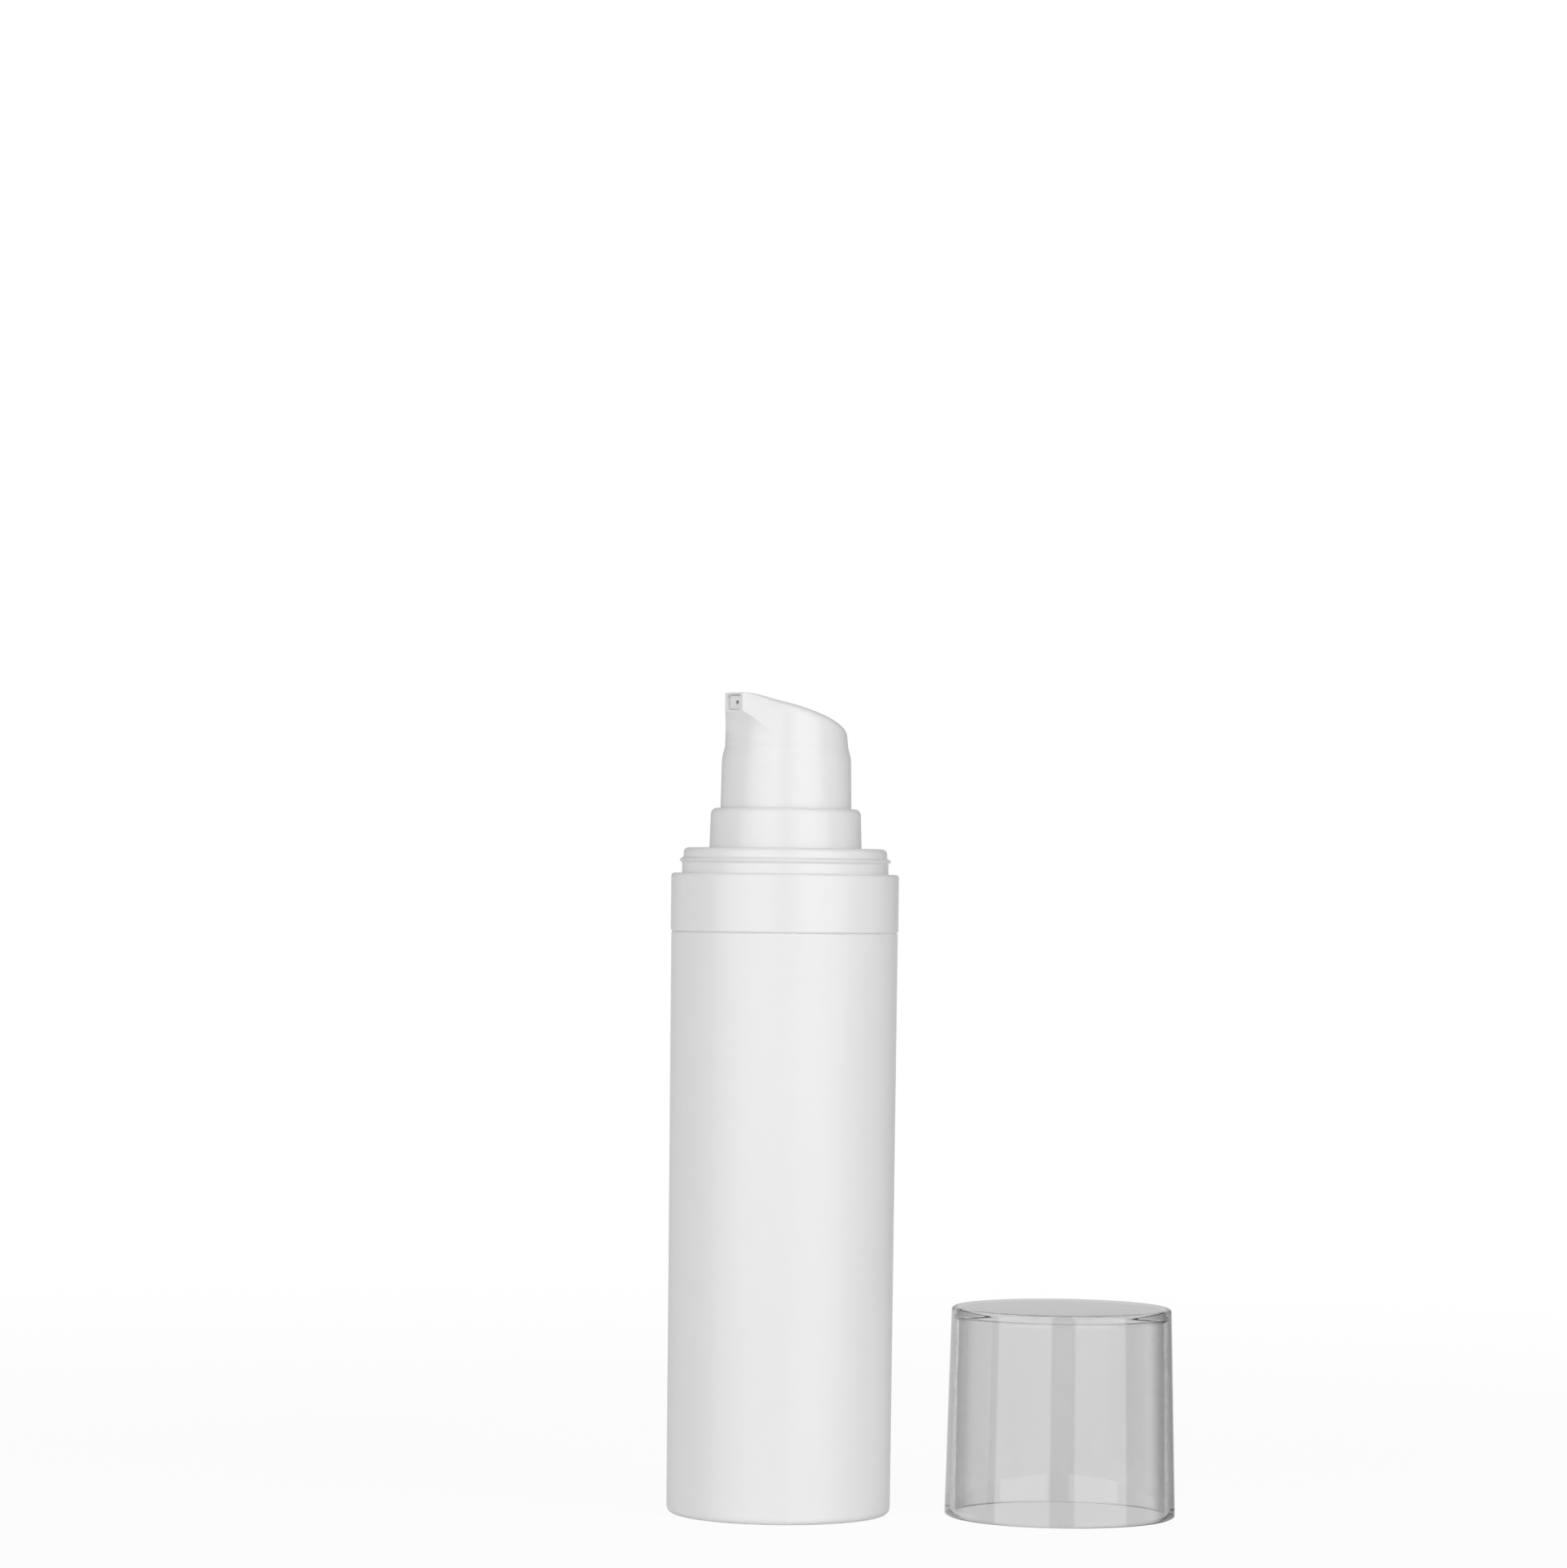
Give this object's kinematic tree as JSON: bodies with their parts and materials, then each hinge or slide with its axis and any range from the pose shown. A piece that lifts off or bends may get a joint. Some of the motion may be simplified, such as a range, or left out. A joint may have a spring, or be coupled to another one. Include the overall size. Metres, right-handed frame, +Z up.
{
  "type": "airless pump bottle",
  "caption": "Slim white cylindrical airless bottle with a stepped neck and a press-down pump head with a slanted nozzle, its clear push-on cap standing beside it.",
  "frame": {"origin": "on the bottle's axis, on the plane of the foot ring that it stands on", "axes": "+Z up along the bottle's axis, +X towards the cap that stands beside the bottle, -Y towards the viewer of the picture"},
  "size_m": [0.0744, 0.0344, 0.119],
  "materials": {
    "shell_white": "smooth semi-gloss white polypropylene",
    "inner_natural": "natural translucent polypropylene",
    "follower_white": "soft white polyethylene",
    "seal_cream": "soft natural polyethylene",
    "gasket_grey": "matt grey elastomer",
    "spring_steel": "drawn stainless wire",
    "ball_steel": "polished stainless ball",
    "cap_clear": "clear, slightly grey moulded plastic"
  },
  "bodies": {
    "bottle": {"container": "shell_white", "pump_closure": "inner_natural", "shoulder_collar": "shell_white", "housing_gasket": "gasket_grey", "pump_housing": "inner_natural", "stem_guide": "inner_natural", "return_spring": "spring_steel"},
    "stem": {"upper_stem": "inner_natural", "piston_rod": "inner_natural"},
    "head": {"actuator": "shell_white", "nozzle_insert": "shell_white"},
    "seal": {"stem_seal": "seal_cream"},
    "valve": {"check_ball": "ball_steel"},
    "follower": {"follower_piston": "follower_white"},
    "cap_body": {"cap": "cap_clear"}
  },
  "joints": [
    {"name": "actuator_press", "type": "slide", "parent": "bottle", "child": "stem", "axis": [0, 0, -1], "range_m": [0, 0.004], "stiffness_N_per_m": 2000, "springref_m": -0.003, "deforming": ["return_spring"]},
    {"name": "actuator_swivel", "type": "hinge", "parent": "stem", "child": "head", "pos_m": [0, 0, 0.1048], "axis": [0, 0, 1], "continuous": true},
    {"name": "seal_shift", "type": "slide", "parent": "stem", "child": "seal", "axis": [0, 0, 1], "range_m": [0, 0.0008]},
    {"name": "ball_lift", "type": "slide", "parent": "bottle", "child": "valve", "axis": [0, 0, 1], "range_m": [0, 0.0009]},
    {"name": "follower_rise", "type": "slide", "parent": "bottle", "child": "follower", "axis": [0, 0, 1], "range_m": [0, 0.0696]},
    {"name": "cap_lift", "type": "slide", "parent": "bottle", "child": "cap_body", "axis": [0, 0, 1], "range_m": [0, 0.03]}
  ]
}
